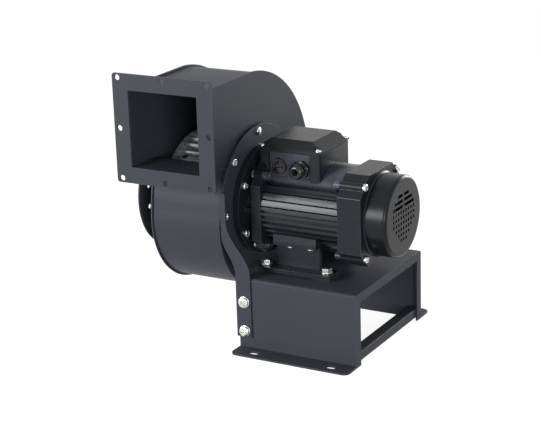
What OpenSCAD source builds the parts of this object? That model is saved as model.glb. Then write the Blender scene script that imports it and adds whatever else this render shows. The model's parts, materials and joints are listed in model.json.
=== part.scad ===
// Direct-drive centrifugal blower. A sheet-metal scroll with a square flanged outlet and
// a round flanged inlet holds a multi-vane impeller, which sits on the shaft of a
// foot-mounted, fan-cooled brushless dc motor on an inverted-U stand.
// +X runs along the shaft from the inlet to the fan cowl, the outlet faces -Y, +Z is up.
// The origin is the centre of the four floor slots, on the floor.

/* [Stand] */
// Width across the outer faces of the stand's side walls
stand_w = 200; // [184:2:216]
// Length of the stand along the shaft
stand_l = 175; // [165:1:190]
// Height of the stand's top face
stand_h = 100; // [85:1:120]
// Sheet thickness of the stand
stand_t = 2.5; // [2:0.5:3.5]
// Width of each floor flange
floor_flange_w = 29; // [27:1:40]
// Slot spacing along the shaft
slot_pitch_x = 115; // [90:1:130]
// Slot spacing across the stand
slot_pitch_y = 232; // [228:1:236]
// Width of a floor slot
slot_w = 8; // [6:0.5:9]
// Overall length of a floor slot
slot_l = 14; // [10:1:20]
// Width of the returned lip round the open end
lip_w = 10; // [6:1:14]
// Depth of the cross bar's flat leg
bar_depth = 16; // [12:1:22]
// Height of the cross bar's top face above the floor
bar_z = 17; // [14:1:24]

/* [Support plate] */
// Sheet thickness of the support plate
plate_t = 2.5; // [2:0.5:3]
// Distance from the stand's end to the front face of the support disc
plate_step = 19.5; // [17:0.5:26]
// Width of each support arm at the stand
arm_foot_w = 22; // [20:1:26]
// Width of each support arm beside the disc
arm_top_w = 7.5; // [6:0.5:9]
// Height of the upper arm bolt above the floor
arm_bolt_z = 67; // [60:1:72]
// Spacing of the two arm bolts
arm_bolt_pitch = 41; // [30:1:44]
// Bolt circle radius of the casing screws
casing_screw_r = 94; // [93:0.5:95]

/* [Casing] */
// Width of the casing over its two side sheets
casing_w = 108; // [104:1:114]
// Sheet thickness of the casing
sheet_t = 1.5; // [1:0.25:2]
// Inside radius of the scroll at the tongue
scroll_r_start = 94; // [93.5:0.5:97]
// Inside radius of the scroll under the duct roof
scroll_r_end = 171; // [165:1:178]
// How far the side sheets stand proud of the wrapper
seam_lip = 3; // [2:0.5:3.5]
// Clear height of the outlet duct
outlet_h = 104; // [98:1:106]
// Distance from the shaft to the outlet flange's face
outlet_reach = 141; // [132:1:155]
// Width of the outlet flange
outlet_flange_w = 152; // [150:1:160]
// Height of the outlet flange
outlet_flange_h = 148; // [146:1:156]
// Distance of the outlet flange's holes from its upright edges
hole_edge_w = 8; // [7:0.5:9]
// Distance of the outlet flange's holes from its level edges
hole_edge_h = 6; // [5.5:0.5:7]
// Diameter of the outlet flange's holes
flange_hole_d = 8; // [6:0.5:9]
// Thickness of the outlet flange
outlet_flange_t = 2.5; // [2:0.5:4]
// Thickness of the gasket ring between casing and support disc
gasket_t = 3.5; // [2:0.5:5]

/* [Inlet] */
// Inside radius of the inlet collar
inlet_r = 49; // [47:0.5:50]
// Length of the collar outside the casing
inlet_reach = 32.5; // [24:0.5:40]
// Outside radius of the inlet flange
inlet_flange_r = 81.5; // [70:0.5:88]
// Bolt circle radius of the inlet flange
inlet_bolt_r = 57.5; // [56.5:0.5:62]
// Diameter of the inlet flange's holes
inlet_hole_d = 7; // [5.5:0.5:7]
// Thickness of the inlet flange
inlet_flange_t = 2; // [2:0.5:3]

/* [Impeller] */
// Outside radius of the impeller
impeller_r = 84; // [80:0.5:84]
// Overall width of the impeller
impeller_w = 88; // [80:1:90]
// Number of blades
blade_count = 36; // [24:2:40]
// Radial depth of a blade
blade_depth = 16.5; // [12:0.5:18]
// Thickness of a blade
blade_t = 1.2; // [1:0.1:1.6]
// Thickness of the back disc and the front ring
disc_t = 2; // [1.5:0.5:3]

/* [Motor] */
// Height of the shaft above the motor's feet
motor_h = 80; // [78:1:88]
// Distance across the foot bolts
feet_a = 112; // [110:1:114]
// Distance along the shaft between the foot bolts
feet_b = 90; // [86:1:96]
// Distance from the motor's front face to the first foot bolt
feet_c = 39.5; // [37:0.5:42]
// Outside radius of the frame's barrel
barrel_r = 61; // [60:0.5:61.5]
// Length of the finned frame
frame_l = 114; // [110:1:124]
// Half width of the square end shields
shield_half = 61.5; // [61:0.5:63]
// Thickness of the drive-end shield's square block
drive_block_t = 14; // [13.5:0.5:18]
// Thickness of the rear shield
rear_block_t = 34; // [32:0.5:40]
// Offset of the shield screws from the shaft, both ways
shield_screw = 48.5; // [47.5:0.5:49.5]
// Outside radius of the fan cowl
cowl_r = 55.2; // [54:0.2:58]
// Length of the fan cowl
cowl_l = 32.5; // [30:0.5:40]
// Radius of the shaft in its bearings
bearing_bore_r = 8.5; // [8.5:0.25:9]
// Outside radius of the bearings
bearing_r = 20; // [20:0.5:21]
// Width of a bearing
bearing_w = 12; // [10:0.5:12.5]

/* [Terminal box] */
// Distance from the frame's front to the middle of the box
box_x = 35; // [32:1:40]
// Length of the recessed panel between the box's corner posts
panel_l = 62; // [56:1:64]
// Depth of the recessed panel
panel_d = 5; // [3:0.5:6]
// Height of the box's rim above the shaft
box_rim_h = 83; // [80:1:90]
// Distance between the lid screws along the shaft
lid_pitch_x = 83; // [78:1:84]
// Distance between the lid screws across the shaft
lid_pitch_y = 77; // [74:1:78]
// Height of the hipped lid
lid_h = 13; // [11:1:18]

/* [Hidden] */
$fn = 64;

coat = "#5b6068";
zinc = "#c9ccd0";
black = "#222428";
steel = "#b4b7bb";
tiny = 0.01;
fit = 0.05;

// Stations along the shaft
shaft_z = stand_h + motor_h;
disc_x = -stand_l / 2 - plate_step;
casing_x1 = disc_x - plate_t - gasket_t;
casing_x0 = casing_x1 - casing_w;
casing_mid = (casing_x0 + casing_x1) / 2;
face_t = 9;
neck_l = 12;
drive_x = disc_x + face_t + neck_l;
frame_x0 = drive_x + drive_block_t;
frame_x1 = frame_x0 + frame_l;
rear_x1 = frame_x1 + rear_block_t;
cowl_x1 = rear_x1 + cowl_l;
foot_x = disc_x + feet_c;
box_cx = frame_x0 + box_x;

// Scroll and duct
scroll_turn = 270;
scroll_bulge = 0.18;
scroll_steps = 72;
nose_r = 8;
duct_floor = scroll_r_end - outlet_h;
nose_y = -sqrt(pow(scroll_r_start + nose_r, 2) - pow(duct_floor - nose_r, 2));
nose_a = atan2(nose_r - duct_floor, -nose_y);

// Impeller
impeller_x1 = casing_x1 - sheet_t - 7.5;
impeller_x0 = impeller_x1 - impeller_w;
blade_r0 = impeller_r - blade_depth - 0.5;
blade_r1 = impeller_r - 0.5;
hub_r = 18;
hub_flange_r = 34;
hub_x0 = impeller_x1 - 38;
opening_r = impeller_r + 2;
end_shaft_r = 8;
key_w = 5;
key_top = 10;
key_bottom = 5;

// Motor internals
bore_r = 52;
wall_r = 55;
stator_r0 = 31;
coil_r0 = 34;
coil_r1 = 46;
stator_l = 60;
stator_x = frame_x0 + 27;
rotor_r = 26;
magnet_r = 30.2;
body_shaft_r = 11;
drive_brg_x = frame_x0 - 1.5 - bearing_w;
rear_brg_x = frame_x1 + 7;
washer_t = 1;
ball_r = 3.4;
ball_c = (bearing_bore_r + bearing_r) / 2;
race_gap = 4.7;
foot_t = 8;
foot_edge = 14;

module yz(x0, len) {
    translate([x0, 0, 0]) rotate([90, 0, 90]) linear_extrude(len) children();
}

module on_shaft(x0, len) {
    translate([0, 0, shaft_z]) yz(x0, len) children();
}

module xz(y0, len) {
    translate([0, y0 + len, 0]) rotate([90, 0, 0]) linear_extrude(len) children();
}

// A profile of [radius, x] points turned about the shaft
module turned() {
    translate([0, 0, shaft_z]) rotate([0, 90, 0]) rotate_extrude($fn = 96) children();
}

module ring(r1, r0) {
    difference() {
        circle(r1, $fn = 96);
        circle(r0, $fn = 96);
    }
}

module on_circle(n, r, start = 0) {
    for (i = [0 : n - 1]) rotate(start + i * 360 / n) translate([r, 0]) children();
}

module hexagon(flats) {
    circle(r = flats / sqrt(3), $fn = 6);
}

function arc(c, r, a0, a1, n) =
    [for (i = [0 : n]) let (a = a0 + (a1 - a0) * i / n) c + r * [cos(a), sin(a)]];

module rounded(w, h, r) {
    polygon(concat(
        arc([w / 2 - r, h / 2 - r], r, 0, 90, 6),
        arc([r - w / 2, h / 2 - r], r, 90, 180, 6),
        arc([r - w / 2, r - h / 2], r, 180, 270, 6),
        arc([w / 2 - r, r - h / 2], r, 270, 360, 6)));
}

module corners(dx, dy) {
    for (x = [-dx, dx], y = [-dy, dy]) translate([x, y]) children();
}

// ---------------------------------------------------------------- stand

// Inverted U with rounded bends, in the plane across the shaft
module arch(w, h, r) {
    polygon(concat([[w / 2, 0]],
        arc([w / 2 - r, h - r], r, 0, 90, 6),
        arc([r - w / 2, h - r], r, 90, 180, 6), [[-w / 2, 0]]));
}

module slot(l, w) {
    square([l - w, w], center = true);
    for (s = [-1, 1]) translate([s * (l - w) / 2, 0]) circle(d = w, $fn = 32);
}

module floor_flange() {
    inner = stand_w / 2 - stand_t;
    outer = stand_w / 2 + floor_flange_w;
    corner = 9;
    difference() {
        polygon(concat([[-stand_l / 2, inner], [stand_l / 2, inner],
            [stand_l / 2, outer - corner]],
            arc([stand_l / 2 - corner, outer - corner], corner, 0, 90, 6),
            arc([corner - stand_l / 2, outer - corner], corner, 90, 180, 6)));
        for (s = [-1, 1]) translate([s * slot_pitch_x / 2, slot_pitch_y / 2]) slot(slot_l, slot_w);
    }
}

bend_r = 4;
arm_hole_r = 4.4;
foot_hole_r = 4.5;
arm_bolt_x = -stand_l / 2 + arm_foot_w / 2 - 1;

module base_stand() {
    color(coat) difference() {
        union() {
            difference() {
                yz(-stand_l / 2, stand_l) arch(stand_w, stand_h, bend_r);
                yz(-stand_l / 2 - 1, stand_l - stand_t + 1)
                    arch(stand_w - 2 * stand_t, stand_h - stand_t, bend_r - stand_t);
                yz(stand_l / 2 - stand_t - 1, stand_t + 2)
                    arch(stand_w - 2 * (stand_t + lip_w), stand_h - stand_t - lip_w, 1);
            }
            for (s = [0, 1]) mirror([0, s, 0]) linear_extrude(stand_t) floor_flange();
        }
        for (x = [foot_x, foot_x + feet_b], y = [-1, 1])
            translate([x, y * feet_a / 2, stand_h - 2 * stand_t])
                cylinder(r = foot_hole_r, h = 3 * stand_t);
        for (z = [arm_bolt_z, arm_bolt_z - arm_bolt_pitch])
            xz(-stand_w, 2 * stand_w) translate([arm_bolt_x, z]) circle(arm_hole_r, $fn = 32);
    }
}

// Angle bar across the open end, just above the floor
module cross_bar() {
    x1 = stand_l / 2 - stand_t;
    half = stand_w / 2 - stand_t;
    color(coat) xz(-half, 2 * half)
        polygon([[x1, bar_z], [x1 - bar_depth, bar_z], [x1 - bar_depth, bar_z - stand_t],
            [x1 - stand_t, bar_z - stand_t], [x1 - stand_t, 4.5], [x1, 4.5]]);
}

// ---------------------------------------------------------------- support plate

arm_out = stand_w / 2 + plate_t;
arm_foot_x = -stand_l / 2 - plate_t;
arm_top_z = shaft_z + 34;
arm_low_z = 17;
back_z = [shaft_z - 76, shaft_z - 24];
front_z = [shaft_z - 76, shaft_z - 6];

// Smooth step from a at low z to b at high z
function blend(a, b, z, span) =
    let (u = max(0, min(1, (z - span[0]) / (span[1] - span[0])))) a + (b - a) * (0.5 - 0.5 * cos(180 * u));

module arm_outline() {
    n = 16;
    back = [for (i = [0 : n]) let (z = back_z[0] + (back_z[1] - back_z[0]) * i / n)
        [blend(arm_foot_x, disc_x - plate_t, z, back_z), z]];
    front = [for (i = [n : -1 : 0]) let (z = front_z[0] + (front_z[1] - front_z[0]) * i / n)
        [blend(arm_foot_x + arm_foot_w, disc_x - plate_t + arm_top_w, z, front_z), z]];
    polygon(concat([[arm_foot_x + arm_foot_w, arm_low_z], [arm_foot_x, arm_low_z]], back,
        [[disc_x - plate_t, arm_top_z], [disc_x - plate_t + arm_top_w, arm_top_z]], front));
}

module support_plate() {
    color(coat) difference() {
        union() {
            on_shaft(disc_x - plate_t, plate_t) difference() {
                union() {
                    circle(arm_out, $fn = 128);
                    translate([-arm_out, back_z[1] - shaft_z])
                        square([2 * arm_out, arm_top_z - back_z[1]]);
                }
                circle(spigot_r + fit, $fn = 96);
                on_circle(8, casing_screw_r) circle(2.75, $fn = 24);
                on_circle(6, flange_screw_r, 30) circle(3.4, $fn = 24);
            }
            for (s = [-1, 1]) xz(s < 0 ? -arm_out : arm_out - plate_t, plate_t) arm_outline();
        }
        for (z = [arm_bolt_z, arm_bolt_z - arm_bolt_pitch])
            xz(-stand_w, 2 * stand_w) translate([arm_bolt_x, z]) circle(arm_hole_r, $fn = 32);
    }
}

bolt_r = 4;
bolt_across = 13;
bolt_head_h = 5.3;
nut_h = 6.5;
washer_r = 8;
washer_h = 1.6;
arm_grip = plate_t + stand_t + nut_h + 2.5;

module arm_bolts() {
    color(zinc) for (s = [0, 1], z = [arm_bolt_z, arm_bolt_z - arm_bolt_pitch])
        mirror([0, s, 0]) translate([arm_bolt_x, -arm_out, z]) rotate([90, 0, 0]) {
            translate([0, 0, -arm_grip]) cylinder(r = bolt_r, h = arm_grip + tiny);
            cylinder(r = washer_r, h = washer_h);
            translate([0, 0, washer_h]) cylinder(r1 = 7.2, r2 = 5.2, h = 4.4, $fn = 32);
        }
}

module arm_nuts() {
    color(zinc) for (s = [0, 1], z = [arm_bolt_z, arm_bolt_z - arm_bolt_pitch])
        mirror([0, s, 0]) translate([arm_bolt_x, -stand_w / 2 + stand_t, z]) rotate([-90, 0, 0])
            linear_extrude(nut_h) difference() {
                hexagon(bolt_across);
                circle(bolt_r);
            }
}

// ---------------------------------------------------------------- casing

function scroll_r(t) =
    scroll_r_start + (scroll_r_end - scroll_r_start) * (t * (1 + scroll_bulge) - scroll_bulge * t * t);

// Outline of the air space across the shaft, grown outwards by d and cut off at y = front
function outline(d, front) = concat(
    [[front, duct_floor - d]],
    arc([nose_y, duct_floor - nose_r], nose_r - d, 90, nose_a, 10),
    arc([0, 0], scroll_r_start + d, 180 + nose_a, 180, 8),
    [for (i = [1 : scroll_steps]) let (t = i / scroll_steps, a = 180 + scroll_turn * t)
        (scroll_r(t) + d) * [cos(a), sin(a)]],
    [[front, scroll_r_end + d]]);

duct_y = -outlet_reach + outlet_flange_t;
side_grow = sheet_t + seam_lip;

module side_outline() {
    polygon(outline(side_grow, duct_y));
}

module scroll_side_motor() {
    color(coat) on_shaft(casing_x1 - sheet_t, sheet_t) difference() {
        side_outline();
        circle(opening_r, $fn = 96);
        on_circle(8, casing_screw_r) circle(2.5, $fn = 24);
    }
}

module scroll_side_inlet() {
    color(coat) on_shaft(casing_x0, sheet_t) difference() {
        side_outline();
        circle(inlet_r + sheet_t, $fn = 96);
    }
}

module scroll_wrapper() {
    color(coat) on_shaft(casing_x0 + sheet_t, casing_w - 2 * sheet_t) difference() {
        polygon(outline(sheet_t, duct_y));
        polygon(outline(0, duct_y - 1));
    }
}

module outlet_flange() {
    across = outlet_flange_w / 2 - hole_edge_w;
    up = outlet_flange_h / 2 - hole_edge_h;
    color(coat) translate([casing_mid, 0, shaft_z + scroll_r_end - outlet_h / 2])
        xz(-outlet_reach, outlet_flange_t) difference() {
            rounded(outlet_flange_w, outlet_flange_h, 4);
            square([casing_w - 2 * sheet_t, outlet_h], center = true);
            corners(across, up) circle(d = flange_hole_d, $fn = 32);
            for (s = [-1, 1]) {
                translate([s * across, 0]) circle(d = flange_hole_d, $fn = 32);
                translate([0, s * up]) circle(d = flange_hole_d, $fn = 32);
            }
        }
}

module inlet_collar() {
    color(coat) on_shaft(casing_x0 - inlet_reach, inlet_reach + sheet_t + 3)
        ring(inlet_r + sheet_t, inlet_r);
}

module inlet_flange() {
    color(coat) on_shaft(casing_x0 - inlet_reach, inlet_flange_t) difference() {
        ring(inlet_flange_r, inlet_r + sheet_t);
        on_circle(12, inlet_bolt_r, 15) circle(d = inlet_hole_d, $fn = 32);
    }
}

module casing_gasket() {
    color(black) on_shaft(casing_x1, gasket_t) difference() {
        ring(scroll_r_start + side_grow, opening_r + 1);
        on_circle(8, casing_screw_r) circle(2.75, $fn = 24);
    }
}

// Pan-head screw along +X with its head's seat at x = 0 and its shank towards -X
module pan_screw(r, len, head_r, head_h) {
    rotate([0, 90, 0]) {
        translate([0, 0, -len]) cylinder(r = r, h = len + tiny, $fn = 24);
        cylinder(r1 = head_r, r2 = head_r * 0.72, h = head_h, $fn = 32);
    }
}

module casing_screws() {
    color(zinc) translate([disc_x, 0, shaft_z]) for (i = [0 : 7]) rotate([i * 45, 0, 0])
        translate([0, casing_screw_r, 0]) pan_screw(2.5, plate_t + gasket_t + sheet_t, 5.2, 3.4);
}

// ---------------------------------------------------------------- motor housing

face_r = 75;
neck_r = 50;
spigot_r = 46;
flange_screw_r = 66;
upper_cut = 26;
lower_cut = 21;
lug_r = 5.6;
lug_l = 8;
cut_h = 20;

// Square block with its corners cut off, and a lug round each screw
module shield_outline() {
    h = shield_half;
    u = h - upper_cut;
    l = h - lower_cut;
    polygon([[h, -l], [h, u], [u, h], [-u, h], [-h, u], [-h, -l], [-l, -h], [l, -h]]);
    corners(shield_screw, shield_screw) circle(lug_r, $fn = 32);
}

module drive_end_shield() {
    color(coat) difference() {
        union() {
            on_shaft(disc_x, face_t) circle(face_r, $fn = 96);
            on_shaft(disc_x + face_t - tiny, neck_l + 2 * tiny) union() {
                circle(neck_r, $fn = 96);
                for (a = [0 : 60 : 300]) rotate(a) translate([neck_r - 4, -3]) square([12, 6]);
            }
            on_shaft(drive_x, drive_block_t) shield_outline();
            on_shaft(frame_x0 - tiny, 4) ring(bore_r, bore_r - 5);
            on_shaft(disc_x - plate_t, plate_t + tiny) circle(spigot_r, $fn = 96);
        }
        on_shaft(disc_x - plate_t - 1, 3 + plate_t + face_t + neck_l) circle(10.5);
        on_shaft(disc_x - plate_t - 1, 7 + 1) circle(15);
        on_shaft(drive_brg_x, bearing_w + 9) circle(bearing_r);
        on_shaft(frame_x0 - 1.5, 8) circle(bore_r - 8);
        on_shaft(disc_x - 1, face_t + 2) on_circle(6, flange_screw_r, 30) circle(3, $fn = 24);
        on_shaft(drive_x - 1, drive_block_t + 2) corners(shield_screw, shield_screw) circle(3, $fn = 24);
    }
}

module flange_screws() {
    color(zinc) translate([disc_x + face_t, 0, shaft_z]) for (i = [0 : 5]) rotate([30 + i * 60, 0, 0])
        translate([0, flange_screw_r, 0]) pan_screw(3, face_t + plate_t, 5, 5);
}

pad_x0 = frame_x0 + 18;
pad_l = 64;
pad_z = -36;
pad_y0 = 34;
pad_y1 = 61;
pad_h = 9;
fin_t = 4;
broad_fin_t = 7;
slim_fin_t = 3;
fin_root = 38;
fin_z = [-33.5, -25.5, -17.5, -9.5, -1.5, 6];
broad_fin_z = [13.5, 23];
slim_fin_z = [34];
flute_z = [-42, 42];
flute_y = 40;

module fin_row(heights, t) {
    for (z = heights) translate([fin_root, z - t / 2]) square([barrel_r, t]);
}

// The barrel across the shaft: a plain top and bottom, with ribs in a flute along each side
module barrel_outline() {
    difference() {
        union() {
            circle(wall_r, $fn = 96);
            difference() {
                circle(barrel_r, $fn = 96);
                for (s = [0, 1]) mirror([s, 0]) translate([flute_y, flute_z[0]])
                    square([barrel_r, flute_z[1] - flute_z[0]]);
            }
            intersection() {
                circle(barrel_r, $fn = 96);
                for (s = [0, 1]) mirror([s, 0]) {
                    fin_row(fin_z, fin_t);
                    fin_row(broad_fin_z, broad_fin_t);
                    fin_row(slim_fin_z, slim_fin_t);
                }
            }
        }
        circle(bore_r, $fn = 96);
    }
}

// Screw lugs at the four corners, each on a root that runs into the barrel
module frame_lugs() {
    root_w = 2 * lug_r - 2;
    for (i = [0 : 3]) rotate(45 + 90 * i) translate([bore_r, -root_w / 2])
        square([shield_screw * sqrt(2) - bore_r, root_w]);
    corners(shield_screw, shield_screw) circle(lug_r, $fn = 32);
}

module motor_frame() {
    color(coat) difference() {
        union() {
            on_shaft(frame_x0, frame_l) barrel_outline();
            for (x = [frame_x0, frame_x1 - lug_l]) on_shaft(x, lug_l) difference() {
                frame_lugs();
                circle(wall_r - 1.5, $fn = 96);
                if (x == frame_x0) translate([-rim_w / 2 - 0.5, flute_z[1] + 1.5])
                    square([rim_w + 1, cut_h]);
            }
            for (s = [0, 1]) mirror([0, s, 0]) on_shaft(pad_x0, pad_l) difference() {
                translate([pad_y0, pad_z]) square([pad_y1 - pad_y0, pad_h]);
                circle(wall_r - 1.5, $fn = 96);
            }
        }
        for (x = [frame_x0 - 1, frame_x1 - lug_l]) on_shaft(x, lug_l + 1)
            corners(shield_screw, shield_screw) circle(3, $fn = 24);
        for (x = foot_screw_x, s = [-1, 1]) translate([x, s * foot_screw_y, foot_top_z - 1])
            cylinder(r = 2.5, h = pad_h, $fn = 24);
    }
}

module rear_end_shield() {
    color(coat) difference() {
        union() {
            on_shaft(frame_x1, rear_block_t) shield_outline();
            on_shaft(frame_x1 - 4, 4 + tiny) ring(bore_r, bore_r - 5);
            on_shaft(rear_x1 - tiny, 6) ring(cowl_r - cowl_t, cowl_r - cowl_t - 4);
        }
        on_shaft(frame_x1 - 1, 5) circle(bore_r - 8);
        on_shaft(frame_x1 - 1, rear_brg_x + bearing_w + washer_t - frame_x1 + 1) circle(bearing_r);
        on_shaft(frame_x1, rear_block_t + 10) circle(10);
        on_shaft(rear_x1 - 8, 20) circle(cowl_r - cowl_t - 4, $fn = 96);
        on_shaft(frame_x1 - 1, rear_block_t + 2) corners(shield_screw, shield_screw) circle(3, $fn = 24);
    }
}

module shield_screws() {
    color(zinc) for (y = [-1, 1], z = [-1, 1]) {
        translate([rear_x1, y * shield_screw, shaft_z + z * shield_screw])
            pan_screw(3, rear_block_t + lug_l - 1, 5.2, 4.5);
        translate([drive_x, y * shield_screw, shaft_z + z * shield_screw]) mirror([1, 0, 0])
            pan_screw(3, drive_block_t + lug_l - 1, 5.2, 4.5);
    }
}

foot_screw_x = [foot_x + 37, foot_x + 67];
foot_screw_y = 56;
foot_bar_x0 = foot_x - 10.5;
foot_bar_l = feet_b + 22;
foot_top_z = shaft_z + pad_z;
foot_flange_t = 5.5;
foot_web_t = 6;
foot_web_y = 45;

// One cast foot: a bolted bar, an upright web and a flange under the frame's pad
module foot() {
    flange_z = foot_top_z - foot_flange_t;
    bar_top = stand_h + foot_t;
    difference() {
        union() {
            translate([foot_bar_x0, feet_a / 2 - foot_edge, stand_h])
                cube([foot_bar_l, 2 * foot_edge, foot_t]);
            translate([pad_x0, foot_web_y, bar_top - tiny])
                cube([pad_l, foot_web_t, flange_z - bar_top + 2 * tiny]);
            translate([pad_x0, 42, flange_z]) cube([pad_l, 20, foot_flange_t]);
        }
        translate([foot_x + 14, 60, stand_h - 1]) cube([feet_b - 28, 20, 3]);
        for (x = [foot_x, foot_x + feet_b]) translate([x, feet_a / 2, stand_h - 1])
            cylinder(r = foot_hole_r, h = foot_t + 2);
        for (x = foot_screw_x) translate([x, foot_screw_y, flange_z - 1])
            cylinder(r = 2.5, h = foot_flange_t + 2, $fn = 24);
    }
}

module motor_feet() {
    color(coat) for (s = [0, 1]) mirror([0, s, 0]) foot();
}

module foot_screws() {
    color(zinc) for (x = foot_screw_x, s = [-1, 1])
        translate([x, s * foot_screw_y, foot_top_z - foot_flange_t]) {
            cylinder(r = 2.5, h = foot_flange_t + pad_h - 1.5, $fn = 24);
            translate([0, 0, -4]) cylinder(r = 4.2, h = 4 + tiny, $fn = 24);
        }
}

foot_bolt_z = stand_h - stand_t - washer_h - nut_h - 3.4;

module foot_bolts() {
    top = stand_h + foot_t;
    color(zinc) for (x = [foot_x, foot_x + feet_b], s = [-1, 1]) translate([x, s * feet_a / 2, 0]) {
        translate([0, 0, foot_bolt_z]) cylinder(r = bolt_r, h = top - foot_bolt_z + tiny);
        translate([0, 0, top]) cylinder(r = washer_r, h = washer_h);
        translate([0, 0, top + washer_h]) linear_extrude(bolt_head_h) hexagon(bolt_across);
    }
}

module foot_nuts() {
    color(zinc) for (x = [foot_x, foot_x + feet_b], s = [-1, 1])
        translate([x, s * feet_a / 2, stand_h - stand_t]) {
            translate([0, 0, -washer_h]) linear_extrude(washer_h) difference() {
                circle(washer_r);
                circle(bolt_r);
            }
            translate([0, 0, -washer_h - nut_h]) linear_extrude(nut_h + tiny) difference() {
                hexagon(bolt_across);
                circle(bolt_r);
            }
        }
}

cowl_t = 1.2;
grille_r = 43;
edge_r = 5;
cowl_lip = 1.8;

module fan_cowl() {
    color(coat) turned() polygon(concat(
        [[cowl_r + cowl_lip, rear_x1], [cowl_r + cowl_lip, rear_x1 + cowl_t],
            [cowl_r, rear_x1 + cowl_t + cowl_lip]],
        arc([cowl_r - edge_r, cowl_x1 - edge_r], edge_r, 0, 90, 8),
        [[grille_r, cowl_x1], [grille_r, cowl_x1 - cowl_t]],
        arc([cowl_r - edge_r, cowl_x1 - edge_r], edge_r - cowl_t, 90, 0, 8),
        [[cowl_r - cowl_t, rear_x1]]));
}

// Round field of openings: slots over the upper third, small squares below
module cowl_grille() {
    pitch = 7.6;
    hole = 4.2;
    reach = grille_r - 6;
    color(coat) on_shaft(cowl_x1 - cowl_t, cowl_t) difference() {
        circle(grille_r, $fn = 96);
        for (row = [2 : 4]) {
            half = sqrt(pow(reach, 2) - pow(row * pitch + hole / 2, 2)) - 1;
            translate([-half, row * pitch - hole / 2]) square([half - 2, hole]);
            translate([2, row * pitch - hole / 2]) square([half - 2, hole]);
        }
        for (row = [-4 : 1], col = [-4 : 4])
            if (norm([abs(col) + 0.5, abs(row) + 0.5]) * pitch < reach)
                translate([col * pitch, row * pitch]) square(hole, center = true);
    }
}

// ---------------------------------------------------------------- terminal box

box_z = shaft_z + box_rim_h;
box_wall = 4;
post_r = 5;
rim_h = 2;
rim_l = lid_pitch_x + 9;
rim_w = lid_pitch_y + 9;
chamber_l = rim_l - 2 * box_wall;
chamber_w = rim_w - 2 * (box_wall + panel_d);
step_x = frame_x0 + 1;
step_z = shaft_z + shield_half + 1.5;
seal_t = 1.2;
entry_z = shaft_z + 60;
gland_x = box_cx + 16;
plug_x = box_cx - 18;
entry_y = panel_d - rim_w / 2;

module box_prism(l, w, z0, z1, r) {
    translate([box_cx, 0, z0]) linear_extrude(z1 - z0) rounded(l, w, r);
}

// Block that stands over the drive-end shield, left out of the box: it grows by d
module over_shield(d) {
    translate([step_x - 40 + d, -rim_w, shaft_z]) cube([40, 2 * rim_w, step_z - shaft_z + d]);
}

module terminal_box() {
    color(coat) difference() {
        box_prism(rim_l, rim_w, shaft_z + 40, box_z, post_r);
        for (s = [0, 1]) mirror([0, s, 0]) translate([box_cx - panel_l / 2, rim_w / 2 - panel_d, shaft_z])
            cube([panel_l, panel_d + 1, box_rim_h - rim_h]);
        over_shield(0);
        on_shaft(box_cx - 60, 120) circle(barrel_r, $fn = 96);
        difference() {
            box_prism(chamber_l, chamber_w, shaft_z, box_z + 1, 2);
            on_shaft(box_cx - 60, 120) circle(barrel_r + 3, $fn = 96);
            over_shield(box_wall);
        }
        for (x = [gland_x, plug_x]) translate([x, entry_y - 1, entry_z]) rotate([-90, 0, 0])
            cylinder(r = x == gland_x ? 8 : 10, h = box_wall + 3);
        translate([box_cx, 0, box_z - 6]) linear_extrude(7)
            corners(lid_pitch_x / 2, lid_pitch_y / 2) circle(2, $fn = 24);
    }
}

module lid_gasket() {
    color(black) translate([box_cx, 0, box_z]) linear_extrude(seal_t) difference() {
        rounded(rim_l - 1, rim_w - 1, post_r);
        square([chamber_l, chamber_w], center = true);
        corners(lid_pitch_x / 2, lid_pitch_y / 2) circle(2.2, $fn = 24);
    }
}

module hip(base, h, step, top) {
    polygon([[-base, 0], [base, 0], [base, step], [top, h], [-top, h], [-base, step]]);
}

// Hipped block: two trapezium prisms crossed, so its four sides slope
module hipped(l, w, z0, h, step, top_l, top_w) {
    intersection() {
        xz(-w / 2, w) translate([box_cx, z0]) hip(l / 2, h, step, top_l / 2);
        yz(box_cx - l / 2, l) translate([0, z0]) hip(w / 2, h, step, top_w / 2);
    }
}

lid_edge = 2;
lid_skin = 3;
lid_hip = [15, 11];

module terminal_box_lid() {
    z0 = box_z + seal_t;
    color(coat) difference() {
        hipped(rim_l, rim_w, z0, lid_h, lid_edge, rim_l - 2 * lid_hip[0], rim_w - 2 * lid_hip[1]);
        hipped(chamber_l - 6, chamber_w - 2, z0 - 1, lid_h - lid_skin + 1, lid_edge + 1,
            rim_l - 2 * (lid_hip[0] + lid_skin), rim_w - 2 * (lid_hip[1] + lid_skin));
        translate([box_cx, 0, z0 + lid_edge]) linear_extrude(lid_h)
            corners(lid_pitch_x / 2, lid_pitch_y / 2) circle(4.6, $fn = 32);
        translate([box_cx, 0, z0 - 1]) linear_extrude(lid_h)
            corners(lid_pitch_x / 2, lid_pitch_y / 2) circle(2.2, $fn = 24);
    }
}

module lid_screws() {
    color(zinc) translate([box_cx, 0, box_z + seal_t + lid_edge])
        for (x = [-1, 1], y = [-1, 1]) translate([x * lid_pitch_x / 2, y * lid_pitch_y / 2, 0])
            rotate([0, -90, 0]) pan_screw(2, lid_edge + seal_t + 5, 4.2, 2.6);
}

block_l = 46;
block_w = 18;
block_z = shaft_z + barrel_r + 3;

module terminal_block() {
    color(black) translate([box_cx - block_l / 2, -block_w / 2, block_z - 1]) difference() {
        translate([0, 0, 0]) cube([block_l, block_w, 9]);
        translate([-1, 0, -block_z + 1 + shaft_z]) rotate([90, 0, 90]) linear_extrude(block_l + 2)
            translate([block_w / 2, 0]) circle(barrel_r + 3, $fn = 96);
        for (i = [0 : 2]) translate([9 + i * 14, block_w / 2, -2]) cylinder(r = 2, h = 14, $fn = 24);
    }
}

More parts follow.
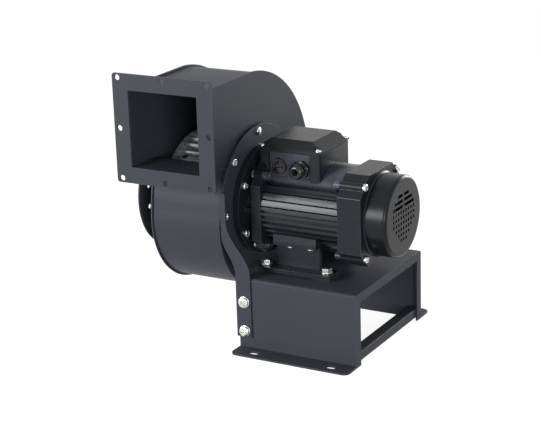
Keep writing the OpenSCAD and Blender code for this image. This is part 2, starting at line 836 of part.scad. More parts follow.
module terminal_studs() {
    color("#c9a64a") for (i = [0 : 2]) translate([box_cx - block_l / 2 + 9 + i * 14, 0, block_z + 0.5]) {
        cylinder(r = 2, h = 13, $fn = 24);
        translate([0, 0, 7.5]) linear_extrude(3.2) hexagon(7);
    }
}

module cable_gland() {
    color(black) translate([gland_x, entry_y, entry_z]) rotate([90, 0, 0]) difference() {
        union() {
            translate([0, 0, -box_wall]) cylinder(r = 8, h = box_wall + tiny);
            linear_extrude(5) hexagon(22);
            translate([0, 0, 5 - tiny]) cylinder(r = 9, h = 5);
        }
        translate([0, 0, -box_wall - 1]) cylinder(r = 4.5, h = 30);
    }
}

module gland_cap() {
    color(black) translate([gland_x, entry_y - 10, entry_z]) rotate([90, 0, 0]) difference() {
        union() {
            linear_extrude(5) hexagon(21);
            translate([0, 0, 5 - tiny]) rotate_extrude($fn = 64)
                polygon(concat([[0, 0], [10, 0]], arc([5, 0], 5, 0, 90, 6), [[0, 5]]));
        }
        translate([0, 0, -1]) cylinder(r = 4.5, h = 20);
    }
}

module blanking_plug() {
    color(black) translate([plug_x, entry_y, entry_z]) rotate([90, 0, 0]) difference() {
        union() {
            translate([0, 0, -box_wall]) cylinder(r = 10, h = box_wall + tiny);
            rotate_extrude($fn = 64) polygon([[0, 0], [11.5, 0], [11.5, 1.6], [10.5, 2.6], [0, 2.6]]);
        }
        translate([0, 0, 2.1]) cube([13, 2, 2], center = true);
    }
}

// ---------------------------------------------------------------- motor internals

slots = 12;

module stator_core() {
    color(steel) on_shaft(stator_x, stator_l) difference() {
        circle(bore_r, $fn = 96);
        circle(stator_r0, $fn = 96);
        for (i = [0 : slots - 1]) rotate(i * 360 / slots) {
            translate([stator_r0 - 1, -1.2]) square([5, 2.4]);
            polygon([[coil_r0, -2.5], [coil_r0, 2.5], [coil_r1 - 1, 7], [coil_r1 - 1, -7]]);
        }
    }
}

module stator_windings() {
    end = 11;
    color("#b06a35") {
        for (x = [stator_x - end, stator_x + stator_l]) on_shaft(x, end) ring(coil_r1, coil_r0);
        on_shaft(stator_x - tiny, stator_l + 2 * tiny) for (i = [0 : slots - 1]) rotate(i * 360 / slots)
            polygon([[coil_r0 + 0.5, -2], [coil_r0 + 0.5, 2], [coil_r1 - 1.5, 6.2], [coil_r1 - 1.5, -6.2]]);
    }
}

// Deep-groove ball bearing rings: a band with a round groove for the balls
module bearing_band(x0, r1, r0) {
    turned() difference() {
        translate([r0, x0]) square([r1 - r0, bearing_w]);
        translate([ball_c, x0 + bearing_w / 2]) circle(ball_r + 0.08, $fn = 48);
    }
}

module outer_ring(x0) {
    color(steel) bearing_band(x0, bearing_r, ball_c + race_gap / 2);
}

module inner_ring(x0) {
    color(steel) bearing_band(x0, ball_c - race_gap / 2, bearing_bore_r);
}

module drive_bearing_outer() {
    outer_ring(drive_brg_x);
}

module rear_bearing_outer() {
    outer_ring(rear_brg_x);
}

module drive_bearing_inner() {
    inner_ring(drive_brg_x);
}

module rear_bearing_inner() {
    inner_ring(rear_brg_x);
}

module bearing_balls() {
    color(steel) for (x = [drive_brg_x, rear_brg_x], i = [0 : 7])
        translate([x + bearing_w / 2, 0, shaft_z]) rotate([i * 45, 0, 0])
            translate([0, ball_c, 0]) sphere(ball_r, $fn = 32);
}

module bearing_cages() {
    color("#c9a64a") for (x = [drive_brg_x, rear_brg_x]) difference() {
        on_shaft(x + 1.5, bearing_w - 3) ring(ball_c + 0.9, ball_c - 0.9);
        translate([x + bearing_w / 2, 0, shaft_z]) for (i = [0 : 7]) rotate([i * 45, 0, 0])
            translate([0, ball_c - 4, 0]) rotate([-90, 0, 0]) cylinder(r = ball_r + 0.05, h = 8, $fn = 32);
    }
}

module shaft_seal() {
    color(black) turned() polygon([[15, disc_x - plate_t + 0.5], [15, disc_x - plate_t + 6.5],
        [11, disc_x - plate_t + 6.5], [end_shaft_r + 0.35, disc_x - plate_t + 4],
        [end_shaft_r + 0.35, disc_x - plate_t + 2.5], [11, disc_x - plate_t + 0.5]]);
}

module wave_washer() {
    color(steel) on_shaft(rear_brg_x + bearing_w, washer_t) ring(bearing_r - 0.3, bearing_r - 3.5);
}

// ---------------------------------------------------------------- rotor

hub_bolt_r = 3;

module key_space(top) {
    translate([hub_x0 + 6, -key_w / 2, shaft_z + key_bottom]) cube([24, key_w, top - key_bottom]);
}

module shaft() {
    drive_in = drive_brg_x + bearing_w;
    color(steel) difference() {
        turned() polygon([[0, hub_x0 + 1], [end_shaft_r - 0.8, hub_x0 + 1], [end_shaft_r, hub_x0 + 1.8],
            [end_shaft_r, drive_brg_x - 2], [bearing_bore_r, drive_brg_x - 2], [bearing_bore_r, drive_in],
            [body_shaft_r, drive_in], [body_shaft_r, rear_brg_x], [bearing_bore_r, rear_brg_x],
            [bearing_bore_r, rear_brg_x + bearing_w + 1], [tail_r, rear_brg_x + bearing_w + 1],
            [tail_r, cowl_x1 - 12], [0, cowl_x1 - 12]]);
        key_space(end_shaft_r + 1);
        on_shaft(hub_x0, 18) circle(hub_bolt_r, $fn = 24);
    }
}

module shaft_key() {
    color(steel) key_space(key_top);
}

module rotor_core() {
    color(steel) on_shaft(stator_x, stator_l) difference() {
        circle(rotor_r, $fn = 96);
        circle(body_shaft_r);
        on_circle(8, 18.5, 22.5) circle(3, $fn = 24);
    }
}

// Arc-shaped magnets round the rotor core, with narrow gaps between them
module rotor_magnets() {
    color("#3c3f44") on_shaft(stator_x + 1, stator_l - 2) difference() {
        ring(magnet_r, rotor_r);
        for (i = [0 : 7]) rotate(i * 45) translate([0, -1]) square([40, 2]);
    }
}

fan_r = 47;
tail_r = 6.5;
fan_x0 = rear_x1 - 1;
fan_x1 = cowl_x1 - 8;

module cooling_fan() {
    color(black) union() {
        on_shaft(fan_x0, 3) ring(fan_r - 6, 9);
        on_shaft(fan_x0, 16) ring(12, tail_r);
        on_shaft(fan_x0 + 3 - tiny, fan_x1 - fan_x0 - 3) for (i = [0 : 6]) rotate(i * 360 / 7)
            translate([11, -1]) square([fan_r - 11, 2]);
    }
}

module fan_clip() {
    color(steel) on_shaft(fan_x0 + 16, 1) difference() {
        ring(9, tail_r);
        translate([0, -1.5]) square([12, 3]);
    }
}

module impeller_hub() {
    color(steel) difference() {
        turned() polygon([[end_shaft_r, hub_x0], [hub_r - 1, hub_x0], [hub_r, hub_x0 + 1],
            [hub_r, impeller_x1 - disc_t - 8], [hub_r + 4, impeller_x1 - disc_t - 4],
            [hub_flange_r, impeller_x1 - disc_t - 4], [hub_flange_r, impeller_x1 - disc_t],
            [end_shaft_r, impeller_x1 - disc_t]]);
        key_space(key_top + 0.2);
        on_shaft(impeller_x1 - 12, 12) on_circle(6, 28, 30) circle(2, $fn = 24);
    }
}

module impeller_backplate() {
    color(zinc) on_shaft(impeller_x1 - disc_t, disc_t) difference() {
        ring(impeller_r, 14);
        on_circle(6, 28, 30) circle(2, $fn = 24);
    }
}

// Forward-curved vanes: the angle grows with the square of the way out, less a first lean
module blade() {
    n = 6;
    function at(u, side) =
        let (r = blade_r0 + (blade_r1 - blade_r0) * u,
            a = 8 * u * u - 4 * u + side * blade_t / 2 / r * 180 / PI)
        r * [cos(a), sin(a)];
    polygon(concat([for (i = [0 : n]) at(i / n, -1)], [for (i = [n : -1 : 0]) at(i / n, 1)]));
}

module impeller_blades() {
    color(zinc) on_shaft(impeller_x0 + disc_t, impeller_w - 2 * disc_t)
        for (i = [0 : blade_count - 1]) rotate(i * 360 / blade_count) blade();
}

module impeller_ring() {
    color(zinc) on_shaft(impeller_x0, disc_t) ring(impeller_r, blade_r0 - 1);
}

module impeller_rivets() {
    color(zinc) translate([impeller_x1, 0, shaft_z]) for (i = [0 : 5]) rotate([30 + i * 60, 0, 0])
        translate([0, 28, 0]) rotate([0, 90, 0]) {
            translate([0, 0, -disc_t - 4]) cylinder(r = 2, h = disc_t + 4 + tiny, $fn = 24);
            cylinder(r1 = 3.5, r2 = 2.4, h = 1.6, $fn = 24);
        }
}

module impeller_washer() {
    color(zinc) on_shaft(hub_x0 - 2.5, 2.5) ring(14, hub_bolt_r + 0.2);
}

module impeller_bolt() {
    color(zinc) {
        on_shaft(hub_x0 - 6.5, 4) hexagon(10);
        on_shaft(hub_x0 - 2.5 - tiny, 17) circle(hub_bolt_r, $fn = 24);
    }
}

base_stand();
cross_bar();
support_plate();
arm_bolts();
arm_nuts();
scroll_side_motor();
scroll_side_inlet();
scroll_wrapper();
outlet_flange();
inlet_collar();
inlet_flange();
casing_gasket();
casing_screws();
drive_end_shield();
flange_screws();
motor_frame();
rear_end_shield();
shield_screws();
motor_feet();
foot_screws();
foot_bolts();
foot_nuts();
fan_cowl();
cowl_grille();
terminal_box();
lid_gasket();
terminal_box_lid();
lid_screws();
terminal_block();
terminal_studs();
cable_gland();
gland_cap();
blanking_plug();
stator_core();
stator_windings();
drive_bearing_outer();
rear_bearing_outer();
shaft_seal();
wave_washer();
bearing_balls();
bearing_cages();
shaft();
shaft_key();
rotor_core();
rotor_magnets();
drive_bearing_inner();
rear_bearing_inner();
cooling_fan();
fan_clip();
impeller_hub();
impeller_backplate();
impeller_blades();
impeller_ring();
impeller_rivets();
impeller_washer();
impeller_bolt();
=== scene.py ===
import json
import math
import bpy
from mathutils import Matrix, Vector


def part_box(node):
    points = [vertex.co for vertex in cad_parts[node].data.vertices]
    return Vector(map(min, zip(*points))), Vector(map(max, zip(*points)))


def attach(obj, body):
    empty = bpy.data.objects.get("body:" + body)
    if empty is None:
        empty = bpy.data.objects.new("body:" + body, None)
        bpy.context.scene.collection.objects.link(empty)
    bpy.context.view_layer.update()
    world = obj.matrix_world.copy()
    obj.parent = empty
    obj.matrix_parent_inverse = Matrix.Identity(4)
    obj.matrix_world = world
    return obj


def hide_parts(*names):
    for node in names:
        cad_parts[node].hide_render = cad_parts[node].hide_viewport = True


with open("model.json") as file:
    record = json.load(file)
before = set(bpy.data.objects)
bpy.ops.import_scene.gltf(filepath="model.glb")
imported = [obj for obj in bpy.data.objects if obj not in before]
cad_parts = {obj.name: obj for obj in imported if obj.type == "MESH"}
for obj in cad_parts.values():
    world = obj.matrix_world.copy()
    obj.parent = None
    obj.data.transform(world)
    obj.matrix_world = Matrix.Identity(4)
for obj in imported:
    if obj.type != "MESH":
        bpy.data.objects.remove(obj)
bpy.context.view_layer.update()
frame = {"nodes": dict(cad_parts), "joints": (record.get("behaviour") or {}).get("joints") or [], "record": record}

from types import SimpleNamespace

import bmesh
import bpy
import numpy as np
from mathutils import Matrix, Vector

bl_info = {
    "name": "Scroll blower workshop",
    "version": (1, 0, 0),
    "blender": (4, 5, 0),
    "location": "3D View > Sidebar > Blower",
    "description": "Dresses the frame of a direct-drive scroll blower and sets its stage",
    "category": "Object",
}

STATIC = "blower"
MM = 0.001


def in_mm(**sizes):
    """Sizes given in millimetres, as names that hold metres."""
    return SimpleNamespace(**{name: size * MM for name, size in sizes.items()})


# ------------------------------------------------------------------ fixed sizes

SHAFT = np.array(next(j["pos_m"] for j in frame["joints"] if j["name"] == "shaft_spin"), dtype=float)
GLAND_BORE = next(m for m in frame["record"]["mounts"] if m["name"] == "gland_bore")

# A screw's seat is the height of its outer end above the face that its head sits on
CASING_SCREW = in_mm(shank_r=2.5, shank_l=7.4, head_r=5.2, head_h=3.4, seat=3.4)
FLANGE_SCREW = in_mm(shank_r=3, shank_l=11.4, head_r=5, head_h=4.6, seat=5)
REAR_SCREW = in_mm(shank_r=3, shank_l=41, head_r=5.2, head_h=4.4, seat=4.5)
DRIVE_SCREW = in_mm(shank_r=3, shank_l=21, head_r=5.2, head_h=4.4, seat=4.5)
LID_SCREW = in_mm(shank_r=2, shank_l=8.2, head_r=4.2, head_h=2.6, seat=2.6)
FOOT_SCREW = in_mm(shank_r=2.5, head_r=4.2, head_h=4, seat=4)

# M8 bolts at the feet and on the arms, with their washers and nuts
WASHER = in_mm(outer=8, bore=4.1, t=1.6)
BOLT = in_mm(r=4, across=13, head_h=5.3, nut_h=6.5, seat=6.9)
ARM_BOLT = in_mm(head_r=7.2, head_h=4.4, shank_l=15.6, seat=6)

# Gland, from the box's wall outwards: the hexagon, the neck, and the cap with its ribs and domed front
GLAND = in_mm(across=22, hexagon_h=5, in_wall=4, neck_l=10)
CAP = in_mm(mouth=1.2, foot_r=10.6, r=10.9, ribbed_l=4.6, chamfer=0.6, dome=5, dome_in=5.2, groove_r=10.4,
            rib=0.45)
SEAL = in_mm(back=0.2, lip=0.7)

# Plug: how far its rim stands out of the box's wall, and the slotted core inside the rim
PLUG = in_mm(rim_h=2.6, core_r=7, core_h=1.5, core_up=1)

# The box's panel of painted light, a lighter enamel standing in for a highlight, keeps clear of the corner posts,
# the faces beside it and the rim
PAINTED_LIGHT_PANEL = in_mm(post=15, recess=2.5, rim=2)
# Height above the shaft from which the barrel's top gets a painted highlight
PAINTED_HIGHLIGHT_CROWN_UP = 41.5 * MM

# A hexagon's corner lies just inside this share of its half width
HEX_CORNER = 1.16
HEX_COLUMNS = 72
CHAMFER = math.tan(math.radians(30))

# Points nearer than the first are one, and faces thinner than the second go
MERGE = 2e-6
SLIVER = 1e-7
FLAT_ANGLE = math.radians(0.6)
EDGE_ANGLE = math.radians(32)
SMOOTH_ANGLE = math.radians(35)

# Where each lamp stands, how wide its disk is, and its watts at level 1
LAMPS = {
    "front_right": ((1.45, -1.80, 0.50), 1.1, 22),
    "front_left": ((-1.16, -1.85, 0.62), 1.0, 38),
    "back_right": ((0.60, 2.30, 0.60), 1.2, 38),
    "back_left": ((-2.30, 0.40, 0.60), 1.2, 30),
}
WHITE = (1.0, 1.0, 1.0)


# ------------------------------------------------------------------ settings

class BlowerSizes(bpy.types.PropertyGroup):
    """Sizes of the small parts that dress the frame."""

    casting_edge: bpy.props.FloatProperty(
        name="Casting edge", description="Rounding of the cast parts' edges",
        default=0.0011, min=0.0002, max=0.002, subtype="DISTANCE", unit="LENGTH")
    sheet_edge: bpy.props.FloatProperty(
        name="Sheet edge", description="Rounding of the cut sheet's edges",
        default=0.00045, min=0.0001, max=0.0008, subtype="DISTANCE", unit="LENGTH")
    thread_pitch: bpy.props.FloatProperty(
        name="Thread pitch", description="Pitch of the M8 bolt threads",
        default=0.00125, min=0.0008, max=0.002, subtype="DISTANCE", unit="LENGTH")
    recess_depth: bpy.props.FloatProperty(
        name="Recess depth", description="Depth of the cross recess, as a share of the head's height",
        default=0.62, min=0.2, max=0.8, subtype="FACTOR")
    recess_width: bpy.props.FloatProperty(
        name="Recess width", description="Width of a recess arm, as a share of the head's radius",
        default=0.24, min=0.1, max=0.4, subtype="FACTOR")


class BlowerColours(bpy.types.PropertyGroup):
    """Base colours of the finishes."""

    coat: bpy.props.FloatVectorProperty(
        name="Powder coat", description="Satin powder coat on the sheet metal", subtype="COLOR",
        default=(0.052, 0.056, 0.069), min=0.0, max=1.0)
    enamel: bpy.props.FloatVectorProperty(
        name="Motor enamel", description="Enamel on the motor's castings", subtype="COLOR",
        default=(0.018, 0.0205, 0.0255), min=0.0, max=1.0)
    zinc: bpy.props.FloatVectorProperty(
        name="Zinc plate", description="Bright zinc on the fasteners", subtype="COLOR",
        default=(0.66, 0.68, 0.70), min=0.0, max=1.0)
    galvanised: bpy.props.FloatVectorProperty(
        name="Galvanised sheet", description="Sheet of the impeller", subtype="COLOR",
        default=(0.72, 0.74, 0.77), min=0.0, max=1.0)
    plastic: bpy.props.FloatVectorProperty(
        name="Black nylon", description="Gland, plug and cooling fan", subtype="COLOR",
        default=(0.007, 0.007, 0.008), min=0.0, max=1.0)


class BlowerStage(bpy.types.PropertyGroup):
    """Camera and light of the studio."""

    azimuth: bpy.props.FloatProperty(
        name="Azimuth", description="Turn of the view from straight along +Y towards -X",
        default=math.radians(29.84), subtype="ANGLE", unit="ROTATION")
    elevation: bpy.props.FloatProperty(
        name="Elevation", description="Height of the view above the horizon",
        default=math.radians(17.52), subtype="ANGLE", unit="ROTATION")
    roll: bpy.props.FloatProperty(
        name="Roll", description="Turn of the camera about its line of sight",
        default=math.radians(-1.83), subtype="ANGLE", unit="ROTATION")
    distance: bpy.props.FloatProperty(
        name="Distance", description="From the camera to the point that it aims at",
        default=2.2852, min=0.5, subtype="DISTANCE", unit="LENGTH")
    aim: bpy.props.FloatVectorProperty(
        name="Aim", description="Point that the camera aims at",
        default=(-0.1061, 0.0246, 0.1456), subtype="XYZ", unit="LENGTH")
    lens: bpy.props.FloatProperty(
        name="Lens", description="Focal length on a 36 mm wide sensor",
        default=109.64, min=20.0, subtype="DISTANCE_CAMERA")
    level: bpy.props.FloatProperty(
        name="Light level", description="Scales every lamp together",
        default=1.0, min=0.1, max=4.0, subtype="FACTOR")


# ------------------------------------------------------------------ surfaces

def quads_round(points):
    """A grid of points as vertices and quads: rows follow the profile, and each row's columns join round."""
    rows, cols = points.shape[:2]
    row, col = np.meshgrid(np.arange(rows - 1), np.arange(cols), indexing="ij")
    this, below, after = row * cols, (row + 1) * cols, (col + 1) % cols
    quads = np.stack([this + col, below + col, below + after, this + after], axis=-1)
    return points.reshape(-1, 3), quads.reshape(-1, 4)


def lathe(radius, height, turns=48, limit=None):
    """Profile turned about +Z: x = r cos a, y = r sin a, z = h, with r held to limit(a) if one is given."""
    a = np.linspace(0, 2 * math.pi, turns, endpoint=False)
    r = np.asarray(radius, float)[:, None] * np.ones_like(a)[None, :]
    if limit is not None:
        r = np.minimum(r, limit(a)[None, :])
    z = np.asarray(height, float)[:, None] * np.ones_like(a)[None, :]
    return quads_round(np.stack([r * np.cos(a), r * np.sin(a), z], axis=-1))


def flats(across):
    """Distance from the centre to a hexagon's side at angle a: half the width across flats over the cosine
    of the angle to the nearest flat's middle."""
    third = math.pi / 3
    return lambda a: across / 2 / np.cos((a % third) - third / 2)


def arc_points(cr, cz, r, a0, a1, n):
    """Radii and heights along a circular arc about (cr, cz), from angle a0 to a1 in degrees."""
    a = np.radians(np.linspace(a0, a1, n))
    return cr + r * np.cos(a), cz + r * np.sin(a)


def recessed_head(head_r, head_h, depth, width, kind="cross"):
    """Domed head: height falls with the radius as an ellipse, less a recess whose depth fades out smoothly
    past its arms; a cross has two arms, a slot one. The underside closes flat at z = 0."""
    rim, bend = 0.45, 0.86
    reach = 0.9 if kind == "slot" else 0.62
    soft = 0.06 * head_r
    a = np.linspace(0, 2 * math.pi, 64, endpoint=False)
    rho = np.concatenate([np.linspace(0, bend, 24),
                          bend + (1 - bend) * np.sin(np.linspace(0.2, math.pi / 2, 6))])
    r = rho[:, None] * head_r * np.ones_like(a)[None, :]
    x, y = r * np.cos(a), r * np.sin(a)
    crown = head_h * (rim + (1 - rim) * np.sqrt(np.clip(1 - rho ** 2, 0, 1)))[:, None]
    near, far = np.minimum(abs(x), abs(y)), np.maximum(abs(x), abs(y))
    if kind == "slot":
        near, far = abs(y), abs(x)
    across = np.clip((width * head_r / 2 - near) / soft + 0.5, 0, 1)
    along = np.clip((reach * head_r - far) / (3 * soft) + 0.5, 0, 1)
    top = np.stack([x, y, crown - depth * head_h * across * along], axis=-1)
    skirt = np.stack([x[-1], y[-1], 0 * a], axis=-1)[None]
    foot = np.zeros_like(skirt)
    return quads_round(np.concatenate([top, skirt, foot]))


def threaded_rod(r, length, pitch):
    """Screw thread: the radius follows a triangle wave of the height less the angle's share of one pitch,
    and fades to a chamfer at the tip; it runs from z = 0 down to -length."""
    groove, rows_a_turn = 0.55 * pitch, 8
    z = np.linspace(0, -length, max(12, int(length / pitch * rows_a_turn)))
    a = np.linspace(0, 2 * math.pi, 32, endpoint=False)
    phase = (z[:, None] / pitch - a[None, :] / (2 * math.pi)) % 1.0
    thread = r - groove * (1 - abs(2 * phase - 1))
    chamfer = r - np.clip(pitch - (z + length), 0, pitch)
    rr = np.minimum(thread, chamfer[:, None])
    grid = np.stack([rr * np.cos(a), rr * np.sin(a), np.broadcast_to(z[:, None], rr.shape)], axis=-1)
    start = np.zeros((1, len(a), 3))
    tip = start - [0, 0, length]
    return quads_round(np.concatenate([start, grid, tip]))


def hex_head(across, height):
    """Hexagonal prism cut by a 30 degree chamfer cone at its top, closed below."""
    corner = across / 2 * HEX_CORNER
    z = np.array([0, 0, 0.1, 0.55, 0.7, 0.8, 0.9, 1, 1]) * height
    r = np.array([0, 1, 1, 1, 1, 1, 1, 1, 0]) * corner
    rise = 0.30 * height
    cone = np.where(z > height - rise, across / 2 * 0.95 + (height - z) / CHAMFER, corner)
    cone[-1] = 0
    return lathe(np.minimum(r, cone), z, HEX_COLUMNS, flats(across))


def hex_nut(across, height, bore):
    """Hexagonal ring chamfered at both faces, round a bore: outside up, inside down, joined to itself."""
    z = np.array([0, 0.1, 0.25, 0.5, 0.75, 0.9, 1]) * height
    edge = np.minimum(z, height - z)
    outer = np.minimum(across / 2 * HEX_CORNER, across / 2 * 0.96 + edge / CHAMFER)
    mouth = bore * 1.12
    ring_r = np.concatenate([outer, [mouth, bore, bore, mouth]])
    ring_z = np.concatenate([z, [height, height * 0.9, height * 0.1, 0]])
    points, quads = lathe(ring_r, ring_z, HEX_COLUMNS, flats(across))
    k = np.arange(HEX_COLUMNS)
    after = (k + 1) % HEX_COLUMNS
    last = (len(ring_r) - 1) * HEX_COLUMNS
    closing = np.stack([last + k, k, after, last + after], axis=-1)
    return points, np.concatenate([quads, closing])


def washer(outer, inner, t):
    """Flat ring with rounded rims: a small arc at the outer edge, square at the bore."""
    e = t * 0.3
    ar, az = arc_points(outer - e, t - e, e, 0, 90, 4)
    br, bz = arc_points(outer - e, e, e, -90, 0, 4)
    r = np.concatenate([[inner], br, ar, [inner, inner]])
    z = np.concatenate([[0], bz, az, [t, 0]])
    return lathe(r, z)


def placed(part, at, towards, spin=0.0):
    """Moves a part made along +Z: its axis turns to the given direction, then it shifts to the point."""
    points, quads = part
    turn = Vector(towards).to_track_quat("Z", "Y").to_matrix() @ Matrix.Rotation(spin, 3, "Z")
    return points @ np.array(turn).T + np.asarray(at), quads


def joined(parts):
    """Several vertex and face lists as one, with the faces' numbers moved on."""
    points, faces, start = [], [], 0
    for p, q in parts:
        points.append(p)
        faces.extend((q + start).tolist())
        start += len(p)
    return np.concatenate(points), faces


def clean_mesh(name, points, faces):
    """A new mesh whose doubles at poles are merged, its faces pointed out and its sharp edges marked."""
    mesh = bpy.data.meshes.new(name)
    mesh.from_pydata(points.tolist(), [], faces)
    bm = bmesh.new()
    bm.from_mesh(mesh)
    bmesh.ops.remove_doubles(bm, verts=bm.verts, dist=MERGE)
    bmesh.ops.dissolve_degenerate(bm, edges=bm.edges, dist=SLIVER)
    bmesh.ops.recalc_face_normals(bm, faces=bm.faces)
    bm.to_mesh(mesh)
    bm.free()
    mesh.shade_smooth()
    mesh.set_sharp_from_angle(angle=SMOOTH_ANGLE)
    return mesh


def linked_object(name, mesh):
    """A mesh as an object of the scene, at the origin."""
    piece = bpy.data.objects.new(name, mesh)
    bpy.context.scene.collection.objects.link(piece)
    return piece


def make_piece(name, parts, slot, nodes=(), body=STATIC):
    """One piece from finished parts: meshed, finished, riding on its body, in place of its CAD nodes."""
    mesh = clean_mesh(name, *joined(parts))
    mesh.materials.append(FINISH[slot])
    piece = linked_object(name, mesh)
    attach(piece, body)
    if nodes:
        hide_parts(*nodes)
    return piece


def rounded_copy(node, width, body=STATIC):
    """A merged copy of a CAD node with its flat faces rejoined and its sharp edges rounded."""
    source = frame["nodes"][node]
    bm = bmesh.new()
    bm.from_mesh(source.data)
    bmesh.ops.remove_doubles(bm, verts=bm.verts, dist=MERGE)
    bmesh.ops.dissolve_limit(bm, angle_limit=FLAT_ANGLE, verts=bm.verts, edges=bm.edges)
    points = np.array([v.co[:] for v in bm.verts])
    faces = [[v.index for v in f.verts] for f in bm.faces]
    bm.free()
    mesh = bpy.data.meshes.new(node + "_rounded")
    mesh.from_pydata(points.tolist(), [], faces)
    mesh.shade_smooth()
    mesh.set_sharp_from_angle(angle=EDGE_ANGLE)
    mesh.materials.append(source.data.materials[0])
    # The bevel faces get the edge material, which carries a painted highlight
    mesh.materials.append(EDGE_HIGHLIGHT[slot_of(node)])
    piece = linked_object(node + "_rounded", mesh)
    edge = piece.modifiers.new("edge", "BEVEL")
    edge.width = width
    edge.segments = 2
    edge.limit_method = "ANGLE"
    edge.angle_limit = EDGE_ANGLE
    edge.harden_normals = True
    edge.material = 1
    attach(piece, body)
    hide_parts(node)
    return piece


def slot_of(node):
    """The record's material slot of a CAD node."""
    return next(s["material_slot"] for s in frame["record"]["subparts"] if s["node"] == node)


# ------------------------------------------------------------------ shader expressions

class Value:
    """A shader socket that takes part in arithmetic: each operator adds its Math node."""

    def __init__(self, shader, socket):
        self.shader = shader
        self.socket = socket

    def _math(self, operation, first, second):
        return self.shader.node("ShaderNodeMath", {"operation": operation}, first, second)

    def __add__(self, other):
        return self._math("ADD", self, other)

    def __sub__(self, other):
        return self._math("SUBTRACT", self, other)

    def __rsub__(self, other):
        return self._math("SUBTRACT", other, self)

    def __mul__(self, other):
        return self._math("MULTIPLY", self, other)

    def __truediv__(self, other):
        return self._math("DIVIDE", self, other)

    def above(self, edge):
        """1 past the edge, else 0."""
        return self._math("GREATER_THAN", self, edge)

    def held(self):
        """Kept between 0 and 1."""
        return self.shader.node("ShaderNodeClamp", {}, self, 0.0, 1.0)


class Nodes:
    """The node tree of a material or a world, made by expressions."""

    def __init__(self, owner):
        owner.use_nodes = True
        self.tree = owner.node_tree
        self.tree.nodes.clear()

    def node(self, kind, settings, *values, out=0, **named):
        """A node of a kind, with its settings, then its inputs by order or by name; gives one output."""
        node = self.tree.nodes.new(kind)
        for key, setting in settings.items():
            setattr(node, key, setting)
        for index, value in enumerate(values):
            self.feed(node.inputs[index], value)
        for key, value in named.items():
            self.feed(node.inputs[key.replace("_", " ")], value)
        return Value(self, node.outputs[out])

    def feed(self, socket, value):
        """Links a value's socket, or sets a constant; a colour of three numbers is opaque."""
        if isinstance(value, Value):
            self.tree.links.new(value.socket, socket)
        elif isinstance(value, tuple) and len(value) == 3 and len(socket.default_value) == 4:
            socket.default_value = (*value, 1.0)
        else:
            socket.default_value = value

    def looked_at(self):
        """1 for what the camera sees, straight, mirrored or through glass, and 0 for stray light."""
        seen, mirrored, through = (self.node("ShaderNodeLightPath", {}, out="Is %s Ray" % kind)
                                   for kind in ("Camera", "Glossy", "Transmission"))
        return (seen + mirrored + through).held()

    def end(self, kind, value):
        """Feeds the tree's output node."""
        output = self.tree.nodes.new(kind)
        self.tree.links.new(value.socket, output.inputs[0])


class Shader(Nodes):
    """One material's nodes, over its Object coordinates."""

    def __init__(self, name):
        self.material = bpy.data.materials.new(name)
        super().__init__(self.material)
        self.place = self.node("ShaderNodeTexCoord", {}, out="Object")

    def noise(self, scale, detail=2.0, roughness=0.5, place=None):
        return self.node("ShaderNodeTexNoise", {}, Vector=place or self.place, Scale=scale, Detail=detail,
                         Roughness=roughness)

    def stretched(self, x, y, z):
        """Object coordinates with each axis scaled."""
        return self.node("ShaderNodeMapping", {}, Vector=self.place, Scale=(x, y, z))

    def within(self, low, high):
        """1 where the Object coordinates lie between two corners, 0 elsewhere."""
        inside = 1.0
        for axis in range(3):
            at = self.node("ShaderNodeSeparateXYZ", {}, self.place, out="XYZ"[axis])
            inside = at.above(float(low[axis])) * (1 - at.above(float(high[axis]))) * inside
        return inside

    def blend(self, factor, first, second):
        """Mixes two colours."""
        node = self.tree.nodes.new("ShaderNodeMix")
        node.data_type = "RGBA"
        self.feed(node.inputs[0], factor)
        self.feed(node.inputs[6], first)
        self.feed(node.inputs[7], second)
        return Value(self, node.outputs[2])

    def relief(self, height, distance):
        """A bumped normal: full height stands for the distance in metres."""
        return self.node("ShaderNodeBump", {}, Height=height, Distance=distance, Strength=1.0)

    def surface(self, **inputs):
        """Ends in a principled surface with the given inputs, and gives the material."""
        self.end("ShaderNodeOutputMaterial", self.node("ShaderNodeBsdfPrincipled", {}, **inputs))
        return self.material


def tint(colour, factor):
    """A colour made darker or lighter, held at full."""
    return tuple(min(1.0, c * factor) for c in colour)


# ------------------------------------------------------------------ finishes

def powder_coat(name, colour, roughness, peel, gloss):
    """Sprayed coat: a fine orange-peel relief, slow drifts of tone, and a little dust in the gloss."""
    s = Shader(name)
    drift = s.noise(9.0, 3.0)
    speck = s.noise(1400.0, 1.0)
    tone = s.blend(drift, tint(colour, 0.88), tint(colour, 1.14))
    fine = s.blend((speck - 0.5) * 0.35 + 0.5, tint(colour, 0.8), tint(colour, 1.25))
    mixed = s.blend(0.35, tone, fine)
    skin = s.noise(620.0, 2.0) + speck * 0.25
    return s.surface(Base_Color=mixed, Roughness=(drift * 0.10 + speck * 0.06 + roughness - 0.08).held(),
                     Specular_IOR_Level=gloss, Normal=s.relief(skin, peel))


def painted_edge_highlight(name, colour, roughness):
    """The coat along an edge with a painted highlight: a tone up to 2.6 times lighter, in drifting spots, and a
    little glossier.
    """
    s = Shader(name)
    highlight_drift = s.noise(90.0, 4.0, 0.7)
    fine = s.noise(1100.0, 2.0)
    tone = s.blend((highlight_drift * 1.6 - 0.4).held(), tint(colour, 1.3), tint(colour, 2.6))
    return s.surface(Base_Color=tone, Roughness=(fine * 0.12 + roughness).held(), Specular_IOR_Level=0.35,
                     Normal=s.relief(fine, 0.00003))


